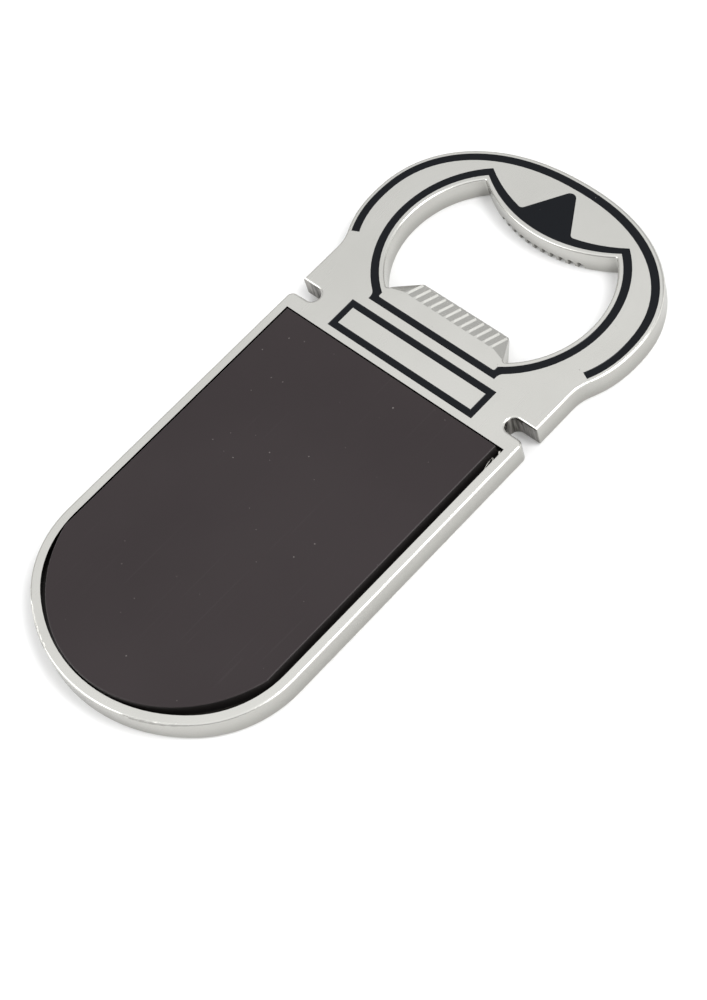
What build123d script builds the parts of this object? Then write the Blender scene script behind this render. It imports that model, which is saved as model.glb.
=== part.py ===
"""Souvenir bottle opener with a fridge magnet, in millimetres.

A die-cast, nickel-plated zinc plate: a tongue-shaped handle, a neck with two slot notches and an
oval head with the cap opening. The plate lies on its front face. The magnet stands in a pocket in
the upper face, a picture plate lies in a shallow recess in the front face, and black enamel fills
the fine lines on both faces.

+Z is up, out of the magnet's face. +Y points to the head. The origin is in the middle of the
plate's length and width, on the front face.
"""
import math
import os

from build123d import *

# The cast plate.
length = 98.3
thickness = 3.6
half_width = 21.45
rim = 1.45
edge_radius = 0.35
front_edge_radius = 0.5
opening_edge_radius = 0.3

# The tongue-shaped end of the handle: two corner arcs tangent to a wide end arc.
end_radius = 24.45
corner_radius = 16.15

# The head, a slightly squared oval.
head_half_width = 23.85
head_half_height = 17.55
head_y = length / 2 - head_half_height
oval_power = 2.2
junction_radius = 6.0

# The slot notches where the neck meets the handle.
notch_width = 2.4
notch_y = 13.45
notch_inner_x = 17.35
shoulder_radius = 1.0
neck_corner_radius = 0.25

# The cap opening: side arcs, a bulging tooth above and a straight lip below.
side_arc_x = 2.8
side_arc_y = 31.4
side_arc_radius = 13.8
tooth_y = 60.75
tooth_radius = 22.4
tooth_corner_radius = 0.4
lip_base_y = 19.4
lip_root_y = 20.25
lip_root_radius = 0.5
lip_tip_y = 24.2
lip_root_half_width = 10.6
lip_tip_half_width = 7.8
lip_tip_radius = 0.5
lip_bevel_start_y = 20.95
lip_bevel_half_width = 8.3
lip_tip_thickness = 0.4

# The ribs that grip the cap's skirt.
rib_pitch = 1.4
rib_count = 12
rib_width = 0.5
rib_height = 0.24
rib_length_share = 0.88
tooth_groove_count = 11
tooth_groove_width = 0.95
tooth_groove_depth = 0.42
tooth_groove_height = 1.15

# The enamel lines, cut into both faces.
groove_depth = 0.4
enamel_recess = 0.07
line_width = 1.05
arc_line_width = 1.16
arc_margin = 0.63
arc_end_angle = 22.7
opening_line_inner = 14.53
opening_line_outer = 15.72
foot_inner_half_width = 10.6
foot_outer_half_width = 11.57
foot_base_y = 17.38
foot_height = 1.15
foot_inner_radius = 0.8
foot_outer_radius = 1.2
foot_corner_radius = 0.2
tooth_line_inner = 22.4
tooth_line_inner_y = 61.45
tooth_line_outer = 23.5
tooth_line_outer_y = 63.85
peak_apex_y = 47.45
peak_base_y = 40.0
peak_half_width = 5.03
peak_apex_radius = 1.0
peak_foot_radius = 0.7
panel_y = 13.5
panel_width = 26.5
panel_height = 5.05

# The magnet and its pocket in the upper face.
pocket_top_y = 9.9
pocket_depth = 1.3
glue_thickness = 0.1
magnet_thickness = 2.0
magnet_half_width = 19.2
magnet_top_y = 9.4
magnet_end_radius = 20.1
magnet_end_y = -47.5
magnet_edge_radius = 0.15

# The picture plate and its recess in the front face.
picture_recess = 0.7
picture_thickness = 0.5
picture_gap = 0.12

bottom_y = -length / 2

os.makedirs("parts", exist_ok=True)


def on_circle(center, radius, angle):
    """The point at an angle, in degrees, on a circle."""
    turn = math.radians(angle)
    return (center[0] + radius * math.cos(turn), center[1] + radius * math.sin(turn))


def tongue(half_width, top_y, end_y, end_radius, corner_radius):
    """A tongue: a square top, straight sides, and corner arcs tangent to a wide end arc."""
    end_center = (0, end_y + end_radius)
    side_step = half_width - corner_radius
    drop = math.sqrt((end_radius - corner_radius) ** 2 - side_step**2)
    corner_center = (side_step, end_center[1] - drop)
    meeting_angle = math.degrees(math.atan2(-drop, side_step))
    with BuildSketch() as face:
        with BuildLine():
            side = Line((half_width, top_y), (half_width, corner_center[1]))
            corner = ThreePointArc(
                side @ 1,
                on_circle(corner_center, corner_radius, meeting_angle / 2),
                on_circle(corner_center, corner_radius, meeting_angle),
            )
            ThreePointArc(corner @ 1, (0, end_y), (-(corner @ 1).X, (corner @ 1).Y))
            mirror(about=Plane.YZ)
            Line((-half_width, top_y), (half_width, top_y))
        make_face()
    return face.sketch


def oval_point(half_width, half_height, angle):
    """A point of the head's oval, |x/a|^n + |y/b|^n = 1, by its angle in degrees."""
    turn = math.radians(angle)
    x = math.copysign(abs(math.cos(turn)) ** (2 / oval_power), math.cos(turn))
    y = math.copysign(abs(math.sin(turn)) ** (2 / oval_power), math.sin(turn))
    return (half_width * x, head_y + half_height * y)


def oval_curve(half_width, half_height, start, stop):
    """A smooth curve along the head's oval between two angles."""
    steps = 28
    angles = [start + (stop - start) * step / steps for step in range(steps + 1)]
    return Spline(*[oval_point(half_width, half_height, angle) for angle in angles])


def head_oval():
    """The head's full oval."""
    with BuildSketch() as face:
        with BuildLine():
            oval_curve(head_half_width, head_half_height, -90, 90)
            mirror(about=Plane.YZ)
        make_face()
    return face.sketch


def plate_outline():
    """The plate seen from above: handle, neck and head joined, with the notches cut."""
    handle = tongue(half_width, pocket_top_y, bottom_y, end_radius, corner_radius)
    with BuildSketch() as face:
        add(handle)
        with Locations((0, (pocket_top_y + head_y) / 2)):
            Rectangle(2 * half_width, head_y - pocket_top_y)
        add(head_oval())
        junctions = face.vertices().filter_by(lambda v: pocket_top_y < v.Y < head_y - 1)
        fillet(junctions, junction_radius)
        slot_center_x = notch_inner_x + notch_width / 2
        for side in (-1, 1):
            with Locations((side * slot_center_x, notch_y)):
                Circle(notch_width / 2, mode=Mode.SUBTRACT)
            with Locations((side * (slot_center_x + half_width / 2), notch_y)):
                Rectangle(half_width, notch_width, mode=Mode.SUBTRACT)
        outer = face.vertices().filter_by(lambda v: abs(v.X) > half_width - 0.01)
        shoulders = outer.filter_by(lambda v: abs(v.Y - notch_y + notch_width / 2) < 0.01)
        neck_corners = outer.filter_by(lambda v: abs(v.Y - notch_y - notch_width / 2) < 0.01)
        fillet(shoulders, shoulder_radius)
        fillet(neck_corners, neck_corner_radius)
    return face.sketch


def rounded_sides(radius, base_y, tooth_center_y, tooth_cut):
    """Two discs side by side, cut off straight below and by the tooth's circle above."""
    with BuildSketch() as face:
        with Locations((0, side_arc_y)):
            SlotCenterToCenter(2 * side_arc_x, 2 * radius)
        with Locations((0, tooth_center_y)):
            Circle(tooth_cut, mode=Mode.SUBTRACT)
        with Locations((0, base_y - radius)):
            Rectangle(4 * radius, 2 * radius, mode=Mode.SUBTRACT)
    return face.sketch


def opening_outline():
    """The cap opening: rounded sides, the tooth above, and the lip left standing below."""
    side_slope = (lip_root_half_width - lip_tip_half_width) / (lip_tip_y - lip_root_y)
    base_half_width = lip_tip_half_width + side_slope * (lip_tip_y - lip_base_y)
    with BuildSketch() as lip:
        Polygon(
            (-base_half_width, lip_base_y),
            (-lip_tip_half_width, lip_tip_y),
            (lip_tip_half_width, lip_tip_y),
            (base_half_width, lip_base_y),
            align=None,
        )
        fillet(lip.vertices().group_by(Axis.Y)[-1], lip_tip_radius)
    with BuildSketch() as face:
        add(rounded_sides(side_arc_radius, lip_base_y, tooth_y, tooth_radius))
        add(lip.sketch, mode=Mode.SUBTRACT)
        fillet(face.vertices().group_by(Axis.Y)[0], lip_root_radius)
        fillet(face.vertices().group_by(Axis.Y)[-1], tooth_corner_radius)
    return face.sketch


def outer_arc_line():
    """The open enamel line that follows the head's edge."""
    outer = (head_half_width - arc_margin, head_half_height - arc_margin)
    inner = (outer[0] - arc_line_width, outer[1] - arc_line_width)
    with BuildSketch() as face:
        with BuildLine():
            outer_side = oval_curve(*outer, -arc_end_angle, 180 + arc_end_angle)
            inner_side = oval_curve(*inner, -arc_end_angle, 180 + arc_end_angle)
            Line(outer_side @ 0, inner_side @ 0)
            Line(outer_side @ 1, inner_side @ 1)
        make_face()
    return face.sketch


def opening_line():
    """The enamel line round the cap opening, with its feet and the filled peak above the tooth."""
    lip_line_y = foot_base_y + line_width
    with BuildSketch() as inside:
        add(rounded_sides(opening_line_inner, lip_line_y, tooth_line_inner_y, tooth_line_inner))
        with Locations((0, lip_line_y + foot_height / 2)):
            Rectangle(2 * foot_inner_half_width, foot_height)
        side_ends = inside.vertices().filter_by(lambda v: abs(abs(v.X) - foot_inner_half_width) < 0.01)
        fillet(side_ends.filter_by(lambda v: v.Y < lip_line_y + 0.01), foot_corner_radius)
        fillet(side_ends.filter_by(lambda v: v.Y > lip_line_y + 0.01), foot_inner_radius)
    with BuildSketch() as peak:
        Polygon(
            (-peak_half_width, peak_base_y),
            (peak_half_width, peak_base_y),
            (0, peak_apex_y),
            align=None,
        )
        fillet(peak.vertices().sort_by(Axis.Y)[-1:], peak_apex_radius)
    with BuildSketch() as face:
        add(rounded_sides(opening_line_outer, foot_base_y, tooth_line_outer_y, tooth_line_outer))
        with Locations((0, foot_base_y + foot_height / 2)):
            Rectangle(2 * foot_outer_half_width, foot_height)
        side_ends = face.vertices().filter_by(lambda v: abs(abs(v.X) - foot_outer_half_width) < 0.01)
        fillet(side_ends.filter_by(lambda v: v.Y > foot_base_y + 0.01), foot_outer_radius)
        add(peak.sketch)
        feet = face.vertices().filter_by(lambda v: abs(v.X) < peak_half_width and v.Y < peak_apex_y - 5)
        fillet(feet.filter_by(lambda v: v.Y > peak_base_y), peak_foot_radius)
        add(inside.sketch, mode=Mode.SUBTRACT)
    return face.sketch


def panel_line():
    """The enamel frame across the neck."""
    with BuildSketch() as face:
        with Locations((0, panel_y)):
            Rectangle(panel_width, panel_height)
            Rectangle(panel_width - 2 * line_width, panel_height - 2 * line_width, mode=Mode.SUBTRACT)
    return face.sketch


def magnet_outline():
    """The magnet: square top corners, straight sides and one end arc that meets them at a corner."""
    center_y = magnet_end_y + magnet_end_radius
    side_end_y = center_y - math.sqrt(magnet_end_radius**2 - magnet_half_width**2)
    with BuildSketch() as face:
        with BuildLine():
            Polyline(
                (-magnet_half_width, side_end_y),
                (-magnet_half_width, magnet_top_y),
                (magnet_half_width, magnet_top_y),
                (magnet_half_width, side_end_y),
            )
            ThreePointArc((magnet_half_width, side_end_y), (0, magnet_end_y), (-magnet_half_width, side_end_y))
        make_face()
    return face.sketch


pocket_end_y = bottom_y + rim
pocket_outline = tongue(
    half_width - rim, pocket_top_y, pocket_end_y, end_radius - rim, corner_radius - rim
)
picture_outline = tongue(
    half_width - rim - picture_gap,
    pocket_top_y - picture_gap,
    pocket_end_y + picture_gap,
    end_radius - rim - picture_gap,
    corner_radius - rim - picture_gap,
)
enamel_lines = {
    "outer_arc": outer_arc_line(),
    "opening_line": opening_line(),
    "panel_frame": panel_line(),
}
cap_opening = opening_outline()

# The cast plate, with its opening, beveled lip, pockets, enamel grooves and gripping ribs.
bevel_drop = (thickness - lip_tip_thickness) / 2
bevel_run = lip_tip_y - lip_bevel_start_y
bevel_angle = math.degrees(math.atan2(bevel_drop, bevel_run))
bevel_length = math.hypot(bevel_drop, bevel_run)
with BuildPart() as cast_body:
    with BuildSketch():
        add(plate_outline())
    extrude(amount=thickness)
    fillet(cast_body.edges().group_by(Axis.Z)[-1], edge_radius)
    fillet(cast_body.edges().group_by(Axis.Z)[0], front_edge_radius)
    edges_before = cast_body.edges()
    with BuildSketch():
        add(cap_opening)
    extrude(amount=thickness, mode=Mode.SUBTRACT)
    opening_edges = cast_body.edges() - edges_before
    fillet(opening_edges.filter_by(Axis.Z, reverse=True), opening_edge_radius)
    # The bevels on the lip's two faces.
    for face_z, inward in ((thickness, -1), (0, 1)):
        with BuildSketch(Plane.YZ):
            Polygon(
                (lip_bevel_start_y, face_z),
                (lip_tip_y, face_z + inward * bevel_drop),
                (lip_tip_y + 1, face_z + inward * bevel_drop),
                (lip_tip_y + 1, face_z - inward),
                (lip_bevel_start_y, face_z - inward),
                align=None,
            )
        extrude(amount=lip_root_half_width, both=True, mode=Mode.SUBTRACT)
    # The smaller bevels at the lip's two ends, which meet the long bevels in a crease.
    for face_z, inward in ((thickness, -1), (0, 1)):
        for side in (-1, 1):
            root = Vector(side * lip_root_half_width, lip_root_y, face_z)
            crease = Vector(side * lip_bevel_half_width, lip_bevel_start_y, face_z)
            tip = Vector(side * lip_tip_half_width, lip_tip_y, face_z + inward * bevel_drop)
            outside = Vector(side * lip_tip_radius, lip_tip_radius, 0)
            upward = (crease - root).cross(tip - root) * (side * inward)
            end_bevel = Plane(origin=root, x_dir=crease - root, z_dir=upward)
            corners = (root, crease, tip, tip + outside, root + outside)
            local_corners = [end_bevel.to_local_coords(corner) for corner in corners]
            with BuildSketch(end_bevel):
                Polygon(*[(corner.X, corner.Y) for corner in local_corners], align=None)
            extrude(amount=bevel_drop, mode=Mode.SUBTRACT)
    # The ribs that stand on the bevels.
    for face_z, inward in ((thickness, -1), (0, 1)):
        bevel = Plane(
            origin=(0, lip_bevel_start_y, face_z),
            x_dir=(1, 0, 0),
            z_dir=(0, bevel_run, inward * bevel_drop),
        )
        up = bevel.to_local_coords(Vector(0, lip_bevel_start_y, face_z - inward)).Y
        rise = math.copysign(rib_height, up)
        with BuildSketch(bevel):
            with GridLocations(rib_pitch, 0, rib_count, 1):
                Polygon(
                    (-rib_width / 2, -rise),
                    (rib_width / 2, -rise),
                    (rib_width / 2, 0),
                    (0, rise),
                    (-rib_width / 2, 0),
                    align=None,
                )
        extrude(amount=rib_length_share * bevel_length)
    # The ribs start flush with the plate's faces.
    for face_z, outward in ((thickness, 1), (0, -1)):
        with BuildSketch(Plane.XY.offset(face_z)):
            with Locations((0, lip_bevel_start_y)):
                Rectangle(2 * lip_root_half_width, bevel_run)
        extrude(amount=outward * bevel_drop, mode=Mode.SUBTRACT)
    # The grooves that leave ribs under the tooth.
    for step in range(tooth_groove_count):
        x = (step - (tooth_groove_count - 1) / 2) * rib_pitch
        edge_y = tooth_y - math.sqrt(tooth_radius**2 - x**2)
        with BuildSketch(Plane.YZ.offset(x - tooth_groove_width / 2)):
            Polygon(
                (edge_y - 1, -1),
                (edge_y + tooth_groove_depth, -1),
                (edge_y + tooth_groove_depth, 0),
                (edge_y, tooth_groove_height),
                (edge_y - 1, tooth_groove_height),
                align=None,
            )
        extrude(amount=tooth_groove_width, mode=Mode.SUBTRACT)
    # The pocket for the magnet and the recess for the picture plate.
    with BuildSketch(Plane.XY.offset(thickness)):
        add(pocket_outline)
    extrude(amount=-pocket_depth, mode=Mode.SUBTRACT)
    with BuildSketch():
        add(pocket_outline)
    extrude(amount=picture_recess, mode=Mode.SUBTRACT)
    # The grooves for the enamel, the same on both faces.
    for face_z, depth in ((thickness, -groove_depth), (0, groove_depth)):
        for line in enamel_lines.values():
            with BuildSketch(Plane.XY.offset(face_z)):
                add(line)
            extrude(amount=depth, mode=Mode.SUBTRACT)
cast_body.part.label = "cast_body"
export_step(cast_body.part, "parts/cast_body.step")

# The enamel lines on both faces, each a little lower than the metal.
enamel_thickness = groove_depth - enamel_recess
for side, floor_z in (("back", thickness - groove_depth), ("front", enamel_recess)):
    for name, line in enamel_lines.items():
        with BuildPart() as enamel:
            with BuildSketch(Plane.XY.offset(floor_z)):
                add(line)
            extrude(amount=enamel_thickness)
        enamel.part.label = f"{side}_{name}_enamel"
        export_step(enamel.part, f"parts/{side}_{name}_enamel.step")

# The film of glue under the magnet, which fills the pocket's floor.
with BuildPart() as magnet_glue:
    with BuildSketch(Plane.XY.offset(thickness - pocket_depth)):
        add(pocket_outline)
    extrude(amount=glue_thickness)
magnet_glue.part.label = "magnet_glue"
export_step(magnet_glue.part, "parts/magnet_glue.step")

# The magnet, punched from sheet, which stands out of its pocket.
with BuildPart() as magnet:
    with BuildSketch(Plane.XY.offset(thickness - pocket_depth + glue_thickness)):
        add(magnet_outline())
    extrude(amount=magnet_thickness)
    fillet(magnet.edges().group_by(Axis.Z)[-1], magnet_edge_radius)
magnet.part.label = "magnet"
export_step(magnet.part, "parts/magnet.step")

# The film of glue and the picture plate in the front recess.
with BuildPart() as picture_glue:
    with BuildSketch(Plane.XY.offset(picture_recess - glue_thickness)):
        add(picture_outline)
    extrude(amount=glue_thickness)
picture_glue.part.label = "picture_glue"
export_step(picture_glue.part, "parts/picture_glue.step")

with BuildPart() as picture_plate:
    with BuildSketch(Plane.XY.offset(picture_recess - glue_thickness - picture_thickness)):
        add(picture_outline)
    extrude(amount=picture_thickness)
picture_plate.part.label = "picture_plate"
export_step(picture_plate.part, "parts/picture_plate.step")
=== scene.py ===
import math

import bpy
import numpy as np
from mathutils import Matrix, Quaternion, Vector


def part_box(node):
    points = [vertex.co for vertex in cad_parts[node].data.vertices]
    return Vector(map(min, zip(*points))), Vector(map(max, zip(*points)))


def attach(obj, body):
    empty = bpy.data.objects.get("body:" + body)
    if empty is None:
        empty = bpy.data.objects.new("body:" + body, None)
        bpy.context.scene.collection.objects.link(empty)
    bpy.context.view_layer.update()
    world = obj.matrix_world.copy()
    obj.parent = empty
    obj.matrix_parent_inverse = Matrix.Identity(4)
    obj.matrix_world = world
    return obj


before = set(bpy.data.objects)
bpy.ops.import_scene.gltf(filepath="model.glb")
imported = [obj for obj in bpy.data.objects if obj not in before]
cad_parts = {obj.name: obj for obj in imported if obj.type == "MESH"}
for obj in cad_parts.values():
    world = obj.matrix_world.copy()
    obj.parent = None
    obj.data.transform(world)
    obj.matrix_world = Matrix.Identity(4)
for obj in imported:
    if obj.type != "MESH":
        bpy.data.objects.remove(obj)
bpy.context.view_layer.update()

# The cast plate: one die-casting of zinc alloy, polished and plated with bright nickel.
# The plating follows the casting's soft ripples, and handling has left hairlines and a few pits.


class Signal:
    """One output of a node, which adds Math nodes when it stands in an expression."""

    def __init__(self, recipe, socket):
        self.recipe = recipe
        self.socket = socket

    def math(self, operation, *others):
        """This value and the others, through one Math node."""
        values = dict(enumerate((self, *others)))
        return self.recipe.add("ShaderNodeMath", {"operation": operation}, values)

    def __add__(self, other):
        return self.math("ADD", other)

    def __radd__(self, other):
        return self.math("ADD", other)

    def __mul__(self, other):
        return self.math("MULTIPLY", other)

    def __rmul__(self, other):
        return self.math("MULTIPLY", other)

    def __sub__(self, other):
        return self.math("SUBTRACT", other)

    def __rsub__(self, other):
        return (self * -1.0).math("ADD", other)

    def __truediv__(self, other):
        return self.math("DIVIDE", other)

    def between(self, low, high):
        """0 below low, 1 above high and a smooth step between; with low above high it falls."""
        values = {"Value": self, "From Min": low, "From Max": high}
        return self.recipe.add("ShaderNodeMapRange", {"interpolation_type": "SMOOTHSTEP"}, values)


class Recipe:
    """The nodes of one material or of the light tent."""

    def __init__(self, block):
        block.use_nodes = True
        self.block = block
        self.tree = block.node_tree
        self.tree.nodes.clear()
        self.place = self.add("ShaderNodeTexCoord", output="Object")

    def add(self, kind, settings=None, sockets=None, output=0):
        """A new node: its settings first, then the values or links of its sockets."""
        node = self.tree.nodes.new(kind)
        for name, value in (settings or {}).items():
            setattr(node, name, value)
        for key, value in (sockets or {}).items():
            self.feed(node.inputs[key], value)
        return None if output is None else Signal(self, node.outputs[output])

    def feed(self, socket, value):
        """Links a signal to a socket, or sets a plain value on it."""
        if isinstance(value, Signal):
            self.tree.links.new(value.socket, socket)
        else:
            socket.default_value = value

    def noise(self, scale, detail=2.0, roughness=0.5, place=None):
        """Cloudy noise of the given scale per metre, about 0.5 on average."""
        sockets = {"Vector": place or self.place, "Scale": scale}
        sockets |= {"Detail": detail, "Roughness": roughness}
        return self.add("ShaderNodeTexNoise", None, sockets)

    def stretched(self, scale, angle=0.0, shift=0.0):
        """The object's coordinates turned about Z, moved along and scaled on each axis."""
        sockets = {"Vector": self.place, "Scale": scale}
        sockets |= {"Rotation": (0.0, 0.0, math.radians(angle)), "Location": (shift, shift, 0.0)}
        return self.add("ShaderNodeMapping", None, sockets)

    def dot(self, first, second):
        """How far one vector reaches along another."""
        sockets = {0: first, 1: second}
        return self.add("ShaderNodeVectorMath", {"operation": "DOT_PRODUCT"}, sockets, "Value")

    def mix(self, amount, first, second):
        """One colour where the amount is 0 and the other where it is 1."""
        sockets = {"Factor": amount, 6: (*first, 1.0) if isinstance(first, tuple) else first}
        sockets[7] = (*second, 1.0) if isinstance(second, tuple) else second
        return self.add("ShaderNodeMix", {"data_type": "RGBA"}, sockets, output=2)


class Finish(Recipe):
    """The nodes of one material: a Principled surface and what feeds it."""

    def __init__(self, name, **uniform):
        super().__init__(bpy.data.materials.new(name))
        self.surface = self.tree.nodes.new("ShaderNodeBsdfPrincipled")
        shader = Signal(self, self.surface.outputs[0])
        self.add("ShaderNodeOutputMaterial", None, {"Surface": shader}, output=None)
        for socket, value in uniform.items():
            self.feed(self.surface.inputs[socket.replace("_", " ")], value)

    def coat(self, color, roughness, height=None, distance=0.0, strength=1.0):
        """Feeds the surface's colour, its roughness and a bump from a height."""
        self.feed(self.surface.inputs["Base Color"], color)
        self.feed(self.surface.inputs["Roughness"], roughness)
        if height is not None:
            sockets = {"Height": height, "Distance": distance, "Strength": strength}
            self.feed(self.surface.inputs["Normal"], self.add("ShaderNodeBump", None, sockets))
        return self.block


def hairlines(recipe, angle, shift, density, cut):
    """Fine straight scratches: noise drawn out along one direction and kept only at its crests.

    A coarser noise keeps them to patches.
    """
    slenderness = 60
    patchiness = 90.0
    drawn_out = recipe.stretched((density, density / slenderness, density), angle, shift)
    crests = recipe.noise(1.0, 1.0, 0.4, drawn_out)
    spread = recipe.stretched((patchiness, patchiness, patchiness), angle, shift)
    patches = recipe.noise(1.0, 1.0, 0.5, spread)
    return crests.between(cut, cut + 0.05) * patches.between(0.5, 0.62)


bright_nickel = (0.76, 0.755, 0.72)
clouded_nickel = (0.715, 0.71, 0.675)
# Painted shade: colours of the upright walls, darker than the top and darkest low down.
outer_wall_shade_low, outer_wall_shade_high = (0.365, 0.36, 0.34), (0.475, 0.47, 0.445)
inner_wall_shade_low, inner_wall_shade_high = (0.38, 0.375, 0.355), (0.51, 0.505, 0.48)
# Dark streak colours of the notch walls: streaked plating with painted shade of the recess.
notch_shade_brown, notch_shade_gray = (0.08, 0.075, 0.068), (0.30, 0.29, 0.27)
pit_gray = (0.42, 0.40, 0.37)
pocket_wall_black = (0.03, 0.028, 0.026)
notch_y = 0.01345
brown_reach_y = 0.00124
brown_from_x = 0.0171
brown_to_x = 0.0216
black_below_y = 0.0102
black_above_z = 0.0012


def nickel_plating():
    """Bright nickel over cast zinc: soft ripples, fine hairlines, rare pits, a faint cloud.

    The upright walls are painted darker than the top, most of all low down: painted shade,
    deepest where they meet the table. In the two notches the walls are painted in dark brown
    and grey streaks: streaked plating with painted shade of the recess. The walls of the magnet's
    pocket, which are the walls below the neck and above the front recess that face the plate's
    middle, are painted near black.
    """
    recipe = Finish("nickel_plating", Metallic=1.0)
    cloud = recipe.noise(70.0, 3.0)
    ripple = recipe.noise(420.0, 2.0)
    grain = recipe.noise(5200.0, 2.0)
    pits = recipe.noise(2100.0, 1.0).between(0.20, 0.17)
    scratches = hairlines(recipe, 24, 0.31, 5200.0, 0.70) + hairlines(recipe, -51, 0.57, 4200.0, 0.71)
    tone = recipe.mix(cloud.between(0.3, 0.7), clouded_nickel, bright_nickel)

    normal = recipe.add("ShaderNodeNewGeometry", output="Normal")
    upright = recipe.dot(normal, (0.0, 0.0, 1.0)).math("ABSOLUTE").between(0.75, 0.25)
    inward = recipe.dot(normal, recipe.place).between(0.0, -0.004)
    across = recipe.dot(recipe.place, (1.0, 0.0, 0.0)).math("ABSOLUTE")
    along = recipe.dot(recipe.place, (0.0, 1.0, 0.0))
    height = recipe.dot(recipe.place, (0.0, 0.0, 1.0))
    # The upright walls are painted darker than the top, and darker still towards the table: painted shade.
    outer_wall_shaded = recipe.mix(height.between(0.0002, 0.0030), outer_wall_shade_low, outer_wall_shade_high)
    inner_wall_shaded = recipe.mix(height.between(0.0002, 0.0026), inner_wall_shade_low, inner_wall_shade_high)
    tone_with_wall_shade = recipe.mix(upright, tone, recipe.mix(inward, outer_wall_shaded, inner_wall_shaded))

    # The notch walls are painted in dark brown and grey streaks: streaked plating, with painted shade of
    # the recess.
    streaks = recipe.noise(1.0, 2.0, 0.6, recipe.stretched((1500.0, 1500.0, 160.0)))
    notch_streaks_and_shade = recipe.mix(streaks.between(0.38, 0.62), notch_shade_brown, notch_shade_gray)
    off_notch = (along - notch_y).math("ABSOLUTE")
    in_notch = off_notch.between(brown_reach_y + 0.00002, brown_reach_y - 0.00002)
    past_floor = across.between(brown_from_x - 0.0001, brown_from_x + 0.0001)
    before_side = across.between(brown_to_x + 0.00005, brown_to_x - 0.00005)
    with_notch_streaks_and_shade = recipe.mix(in_notch * past_floor * upright * before_side, tone_with_wall_shade, notch_streaks_and_shade)

    # The walls of the magnet's pocket are painted near black.
    below_neck = along.between(black_below_y + 0.0002, black_below_y - 0.0002)
    above_recess = height.between(black_above_z - 0.0001, black_above_z + 0.0001)
    pocket = below_neck * above_recess * inward * upright
    pitted = recipe.mix(pits * 0.5, with_notch_streaks_and_shade, pit_gray)
    pocket_walls_blackened = recipe.mix(pocket, pitted, pocket_wall_black)
    roughness = cloud * 0.08 + grain * 0.06 + scratches * 0.05 + 0.17
    relief = ripple * 0.35 + grain * 0.05 - scratches * 0.04 - pits * 0.4
    return recipe.coat(pocket_walls_blackened, roughness, relief, 0.00002, 0.6)


def dress(node, material):
    """Gives a CAD node's object its material in every slot."""
    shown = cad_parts[node]
    for slot in shown.material_slots:
        slot.material = material
    if not shown.material_slots:
        shown.data.materials.append(material)


dress("cast_body", nickel_plating())

# The enamel: black resin enamel run into the cast lines of both faces and left to cure.
# It stands a little lower than the metal, and creeps up the groove walls in a thin meniscus.


def black_enamel():
    """Glossy black resin with faint orange peel, pinpoint dust and a few dull smears."""
    recipe = Finish("black_enamel", Specular_IOR_Level=0.20)
    peel = recipe.noise(1400.0, 2.0)
    smear = recipe.noise(260.0, 3.0)
    dust = recipe.noise(2600.0, 0.0).between(0.86, 0.89)
    color = recipe.mix(dust * 0.5, (0.0010, 0.0020, 0.0042), (0.30, 0.30, 0.29))
    roughness = smear.between(0.35, 0.75) * 0.08 + dust * 0.3 + 0.06
    return recipe.coat(color, roughness, peel, 0.00001, 0.5)


def new_piece(name, points, faces, material, crease=180.0):
    """A smooth mesh object at the origin, creased where it bends by more than an angle in degrees."""
    mesh = bpy.data.meshes.new(name)
    mesh.from_pydata(points.tolist(), [], faces)
    mesh.polygons.foreach_set("use_smooth", np.full(len(mesh.polygons), True))
    mesh.set_sharp_from_angle(angle=math.radians(crease))
    mesh.materials.append(material)
    mesh.update()
    piece = bpy.data.objects.new(name, mesh)
    bpy.context.collection.objects.link(piece)
    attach(piece, "root")
    return piece


def flat_face_rim(node, side):
    """The rim of a node's flat outer face, side +1 for the upper and -1 for the lower.

    The face's triangles are joined at equal points. A triangle's edge that no neighbour shares
    lies on the rim. Returns the rim's points, each one's next point by number, and its two
    inward normals, of the edge that arrives and of the edge that leaves.
    """
    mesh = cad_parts[node].data
    corners = np.empty(len(mesh.vertices) * 3)
    mesh.vertices.foreach_get("co", corners)
    mesh.calc_loop_triangles()
    triangles = np.empty(len(mesh.loop_triangles) * 3, dtype=int)
    mesh.loop_triangles.foreach_get("vertices", triangles)
    joined, same = np.unique(corners.reshape(-1, 3).round(7), axis=0, return_inverse=True)
    triangles = same.reshape(-1)[triangles].reshape(-1, 3)
    level = (side * joined[:, 2]).max()
    flat = triangles[(side * joined[triangles][:, :, 2] > level - 1e-6).all(axis=1)]
    starts, ends = flat.reshape(-1), np.roll(flat, -1, axis=1).reshape(-1)
    keys, reverse = starts * len(joined) + ends, ends * len(joined) + starts
    outer = ~np.isin(keys, reverse)
    order = np.argsort(starts[outer])
    starts, ends = starts[outer][order], ends[outer][order]
    following = np.searchsorted(starts, ends)
    run = joined[ends] - joined[starts]
    run /= np.linalg.norm(run, axis=1, keepdims=True)
    leaving = np.cross((0.0, 0.0, float(side)), run)
    arriving = np.empty_like(leaving)
    arriving[following] = leaving
    return joined[starts], following, arriving, leaving


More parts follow.
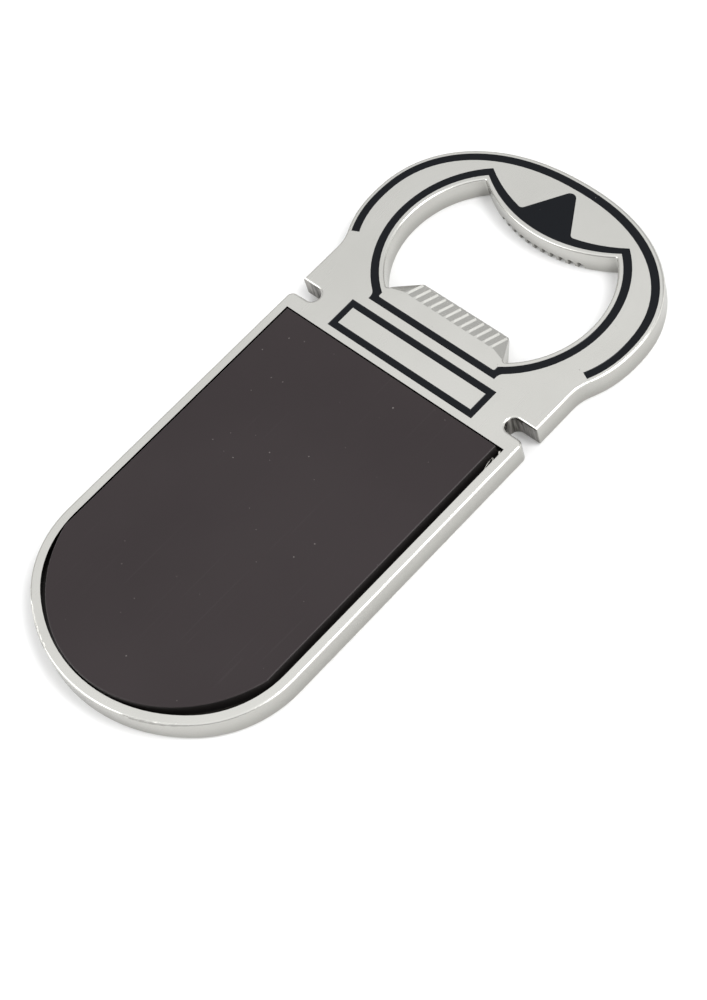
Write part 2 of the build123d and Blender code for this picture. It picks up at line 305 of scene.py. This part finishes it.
def meniscus(name, node, side, rise, reach, material):
    """The band of enamel that creeps up the groove's wall.

    Across the band the height falls from the rise to nothing over the reach, as the square of
    the distance left. It is carried round the rim, mitred where the rim turns, and lifted clear
    of the flat enamel by a hair.
    """
    lines = 7
    lift = 0.000002
    least_bend = 0.35
    rim, following, arriving, leaving = flat_face_rim(node, side)
    bend = 1.0 + (arriving * leaving).sum(axis=1, keepdims=True)
    mitre = (arriving + leaving) / np.maximum(bend, least_bend)
    across = np.linspace(0.0, 1.0, lines)
    points = rim[:, None, :] + mitre[:, None, :] * (reach * across)[None, :, None]
    points[:, :, 2] += side * (rise * (1.0 - across) ** 2 + lift)
    numbers = np.arange(len(rim) * lines).reshape(-1, lines)
    after = numbers[following]
    corners = (numbers[:, :-1], after[:, :-1], after[:, 1:], numbers[:, 1:])
    faces = np.stack(corners, axis=-1).reshape(-1, 4)
    return new_piece(name, points.reshape(-1, 3), faces.tolist(), material, crease=8.0)


enamel = black_enamel()
enamel_rise = 0.000066
enamel_reach = 0.00022
for face, side in (("back", 1), ("front", -1)):
    for line in ("outer_arc", "opening_line", "panel_frame"):
        dress(f"{face}_{line}_enamel", enamel)
        name = f"{face}_{line}_meniscus"
        meniscus(name, f"{face}_{line}_enamel", side, enamel_rise, enamel_reach, enamel)

# The magnet: ferrite-filled rubber sheet with a smooth skin, punched to a tongue and glued in.
# Its top is satin brown-black with dust and rubbed marks, and its punched edge is matt and is
# painted near black: painted shade in the gap round the magnet.


def magnet_sheet():
    """Brown-black filled rubber: grained and clouded skin, dust specks and faint scratches."""
    recipe = Finish("magnet_sheet", Specular_IOR_Level=0.38)
    cloud = recipe.noise(38.0, 3.0)
    grain = recipe.noise(3800.0, 2.0)
    dust = recipe.noise(2300.0, 0.0).between(0.865, 0.89)
    marks = hairlines(recipe, 63, 0.12, 2600.0, 0.70) + hairlines(recipe, 12, 0.44, 3000.0, 0.71)
    skin = recipe.mix(cloud.between(0.3, 0.7), (0.020, 0.0135, 0.015), (0.024, 0.017, 0.0185))
    marked = recipe.mix(marks * 0.03, skin, (0.16, 0.15, 0.15))
    normal = recipe.add("ShaderNodeNewGeometry", output="Normal")
    # Painted shade: the magnet's sides are painted near black, where they face the dark gap round the
    # magnet.
    punched_side_shaded = recipe.dot(normal, (0.0, 0.0, 1.0)).between(0.5, 0.1)
    skinned = recipe.mix(dust * 0.5, marked, (0.26, 0.24, 0.23))
    color = recipe.mix(punched_side_shaded, skinned, (0.008, 0.0062, 0.006))
    roughness = cloud * 0.08 + grain * 0.08 + marks * 0.03 + punched_side_shaded * 0.2 + 0.34
    return recipe.coat(color, roughness, grain + cloud * 2.0, 0.000012, 0.4)


dress("magnet", magnet_sheet())

# The glue: contact glue under the magnet, coloured near black, and clear under the picture plate.
# Threads of it were pulled out in the gap at the pocket's upper right corner and set there.


def set_glue(name, thin, thick):
    """Glue that has set glossy and a little lumpy, and clouds between two colours."""
    recipe = Finish(name)
    cloud = recipe.noise(700.0, 3.0)
    return recipe.coat(recipe.mix(cloud, thin, thick), cloud * 0.25 + 0.12, cloud, 0.00003, 0.5)


dress("magnet_glue", set_glue("dark_glue", (0.010, 0.009, 0.008), (0.018, 0.016, 0.014)))
clear_glue = set_glue("clear_glue", (0.52, 0.50, 0.45), (0.72, 0.70, 0.66))
dress("picture_glue", clear_glue)


def glue_thread(name, ends, bends, radius):
    """A thread whose centre is the cubic curve between two ends, drawn towards two bends.

    Round the centre each ring is a circle. Its radius follows the root of a half sine from end to
    end, so the thread tapers at both, to a small blunt end.
    """
    rings, sides = 48, 8
    blunt = 0.02
    along = np.linspace(0.0, 1.0, rings)[:, None]
    (start, end), (first, second) = np.array(ends), np.array(bends)
    back = 1.0 - along
    to_first, to_second = 3.0 * back**2 * along, 3.0 * back * along**2
    center = back**3 * start + to_first * first + to_second * second + along**3 * end
    heading = np.gradient(center, axis=0)
    heading /= np.linalg.norm(heading, axis=1, keepdims=True)
    beside = np.cross(heading, (0.0, 0.0, 1.0))
    beside /= np.linalg.norm(beside, axis=1, keepdims=True)
    above = np.cross(beside, heading)
    turn = np.linspace(0.0, 2.0 * np.pi, sides, endpoint=False)[None, :, None]
    ring = np.cos(turn) * beside[:, None] + np.sin(turn) * above[:, None]
    thickness = radius * np.sqrt(np.sin(np.pi * along) + blunt)
    points = center[:, None] + thickness[:, :, None] * ring
    numbers = np.arange(rings * sides).reshape(rings, sides)
    after = np.roll(numbers, -1, axis=1)
    wall = np.stack((numbers[:-1], numbers[1:], after[1:], after[:-1]), axis=-1).reshape(-1, 4)
    faces = wall.tolist() + [numbers[0].tolist(), numbers[-1, ::-1].tolist()]
    return new_piece(name, points.reshape(-1, 3), faces, clear_glue)


_, magnet_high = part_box("magnet")
_, glue_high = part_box("magnet_glue")
right, top, low = (float(value) for value in glue_high)
left = float(magnet_high[0])
thread_radius = 0.00006
curl_radius = 0.00015
glue_thread(
    "glue_thread_long",
    ((right - 0.00030, top - 0.0046, low + 0.00010), (left + 0.00016, top - 0.0019, low + 0.00070)),
    ((right - 0.00022, top - 0.0036, low + 0.00070), (left + 0.00020, top - 0.0028, low + 0.00075)),
    thread_radius,
)
glue_thread(
    "glue_thread_hook",
    ((left + 0.00016, top - 0.0019, low + 0.00070), (right - 0.00034, top - 0.0031, low + 0.00020)),
    ((left + 0.00014, top - 0.0014, low + 0.00080), (right - 0.00014, top - 0.0016, low + 0.00080)),
    thread_radius,
)
glue_thread(
    "glue_curl",
    ((left + 0.00016, top - 0.00035, low + 0.00020), (right - 0.00018, top - 0.00105, low + 0.00020)),
    ((left + 0.00024, top - 0.00025, low + 0.00095), (right - 0.00020, top - 0.00070, low + 0.00100)),
    curl_radius,
)

# The picture plate: thin printed aluminium in the front recess, under a clear lacquer.
# The print is a plain landscape of sky, hills and water.


def printed_plate():
    """A printed view under lacquer, in fine dots: sky, two rows of hills and rippled water below."""
    recipe = Finish("printed_plate", Coat_Weight=1.0, Coat_Roughness=0.05)
    x = recipe.dot(recipe.place, (1.0, 0.0, 0.0))
    y = recipe.dot(recipe.place, (0.0, 1.0, 0.0))
    low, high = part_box("picture_plate")
    up = (y - low[1]) / (high[1] - low[1])
    ripples = recipe.noise(1.0, 3.0, 0.6, recipe.stretched((120.0, 900.0, 1.0)))
    sky = recipe.mix(up.between(0.5, 1.0), (0.62, 0.74, 0.80), (0.10, 0.30, 0.55))
    water = recipe.mix(ripples.between(0.4, 0.65), (0.03, 0.16, 0.24), (0.12, 0.38, 0.46))
    far_line = (x * 260.0).math("SINE") * 0.030 + (x * 610.0 + 1.0).math("SINE") * 0.012 + 0.60
    near_line = (x * 190.0 + 2.2).math("SINE") * 0.026 + (x * 520.0).math("SINE") * 0.009 + 0.50
    far = recipe.mix((up - far_line).between(0.002, -0.002), sky, (0.16, 0.30, 0.36))
    near = recipe.mix((up - near_line).between(0.002, -0.002), far, (0.06, 0.18, 0.12))
    shore = recipe.mix(up.between(0.402, 0.398), near, water)
    dots = recipe.noise(4200.0, 0.0)
    color = recipe.mix(dots * 0.10, shore, (0.80, 0.80, 0.78))
    return recipe.coat(color, dots * 0.08 + 0.28, ripples, 0.000008, 0.3)


dress("picture_plate", printed_plate())

# The table, the light and the camera: a white table in a soft white light tent, which is brighter
# overhead than low down, with four softboxes round it.
table_half = 1.5
table_corners = [(-table_half, -table_half, 0.0), (table_half, -table_half, 0.0)]
table_corners += [(table_half, table_half, 0.0), (-table_half, table_half, 0.0)]
table_mesh = bpy.data.meshes.new("table_top")
table_mesh.from_pydata(table_corners, [], [(0, 1, 2, 3)])
table_mesh.materials.append(Finish("white_table", Base_Color=(0.95, 0.95, 0.95, 1.0), Roughness=0.9).block)
table_top = bpy.data.objects.new("table_top", table_mesh)
bpy.context.collection.objects.link(table_top)

tent = Recipe(bpy.data.worlds.new("light_tent"))
overhead = tent.dot(tent.place, (0.0, 0.0, 1.0)).between(0.62, 0.86)
tent_light = tent.mix(overhead, (0.55, 0.55, 0.55), (0.985, 0.985, 0.985))
glow = tent.add("ShaderNodeBackground", None, {"Color": tent_light})
tent.add("ShaderNodeOutputWorld", None, {"Surface": glow}, output=None)
bpy.context.scene.world = tent.block


def softbox(name, place, size, watts):
    """A square area light at a place, facing the object."""
    light = bpy.data.lights.new(name, "AREA")
    light.size = size
    light.energy = watts
    lamp = bpy.data.objects.new(name, light)
    lamp.location = place
    lamp.rotation_mode = "QUATERNION"
    lamp.rotation_quaternion = (-Vector(place)).to_track_quat("-Z", "Y")
    bpy.context.collection.objects.link(lamp)


softbox("right_box", (0.55, 0.12, 0.32), 0.60, 1.6)
softbox("front_box", (-0.36, -0.46, 0.42), 0.46, 1.4)
softbox("far_box", (0.42, 0.66, 0.17), 0.40, 0.30)
softbox("high_box", (0.42, 0.25, 0.81), 0.34, 3.2)

azimuth = math.radians(61.36)
elevation = math.radians(55.12)
roll = math.radians(-21.26)
distance = 0.3403
target = Vector((0.00728, -0.00631, 0.0004))
level_reach = math.cos(elevation)
toward = Vector((math.sin(azimuth) * level_reach, -math.cos(azimuth) * level_reach, math.sin(elevation)))
camera_data = bpy.data.cameras.new("camera")
camera_data.sensor_width = 36.0
camera_data.lens = 94.18
camera = bpy.data.objects.new("camera", camera_data)
camera.location = target + toward * distance
camera.rotation_mode = "QUATERNION"
camera.rotation_quaternion = (-toward).to_track_quat("-Z", "Y") @ Quaternion((0.0, 0.0, 1.0), roll)
bpy.context.collection.objects.link(camera)
bpy.context.scene.camera = camera
bpy.context.scene.view_settings.view_transform = "Standard"
